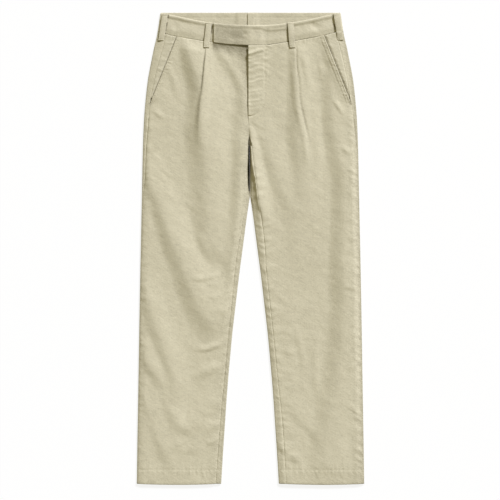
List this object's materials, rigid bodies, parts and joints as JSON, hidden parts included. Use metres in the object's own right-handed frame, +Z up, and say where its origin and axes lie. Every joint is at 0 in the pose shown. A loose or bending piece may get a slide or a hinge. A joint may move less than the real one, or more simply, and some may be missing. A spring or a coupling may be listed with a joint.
{
  "type": "pleated linen trousers lying flat",
  "caption": "Full-length pleated linen trousers laid flat, front up, with tab waistband, belt loops, fly and slanted pockets.",
  "frame": {"origin": "middle of the underside, on the surface the trousers lie on", "axes": "+Z up out of the front of the trousers, +Y from the hems toward the waist, +X toward the wearer's left leg"},
  "size_m": [0.5112, 1.0601, 0.0114],
  "materials": {
    "panel_linen": "matte washed linen",
    "facing_linen": "matte washed linen",
    "band_linen": "matte washed linen",
    "loop_linen": "matte washed linen"
  },
  "bodies": {
    "root": {"front_left": "panel_linen", "front_right": "panel_linen", "back_left": "panel_linen", "back_right": "panel_linen", "pocket_facing_left": "facing_linen", "pocket_facing_right": "facing_linen", "waistband_left": "band_linen", "waistband_right": "band_linen", "belt_loop_side_right": "loop_linen", "belt_loop_front_right": "loop_linen", "belt_loop_front_left": "loop_linen", "belt_loop_side_left": "loop_linen", "belt_loop_back": "loop_linen", "centre_back_tape": "facing_linen"}
  },
  "joints": []
}
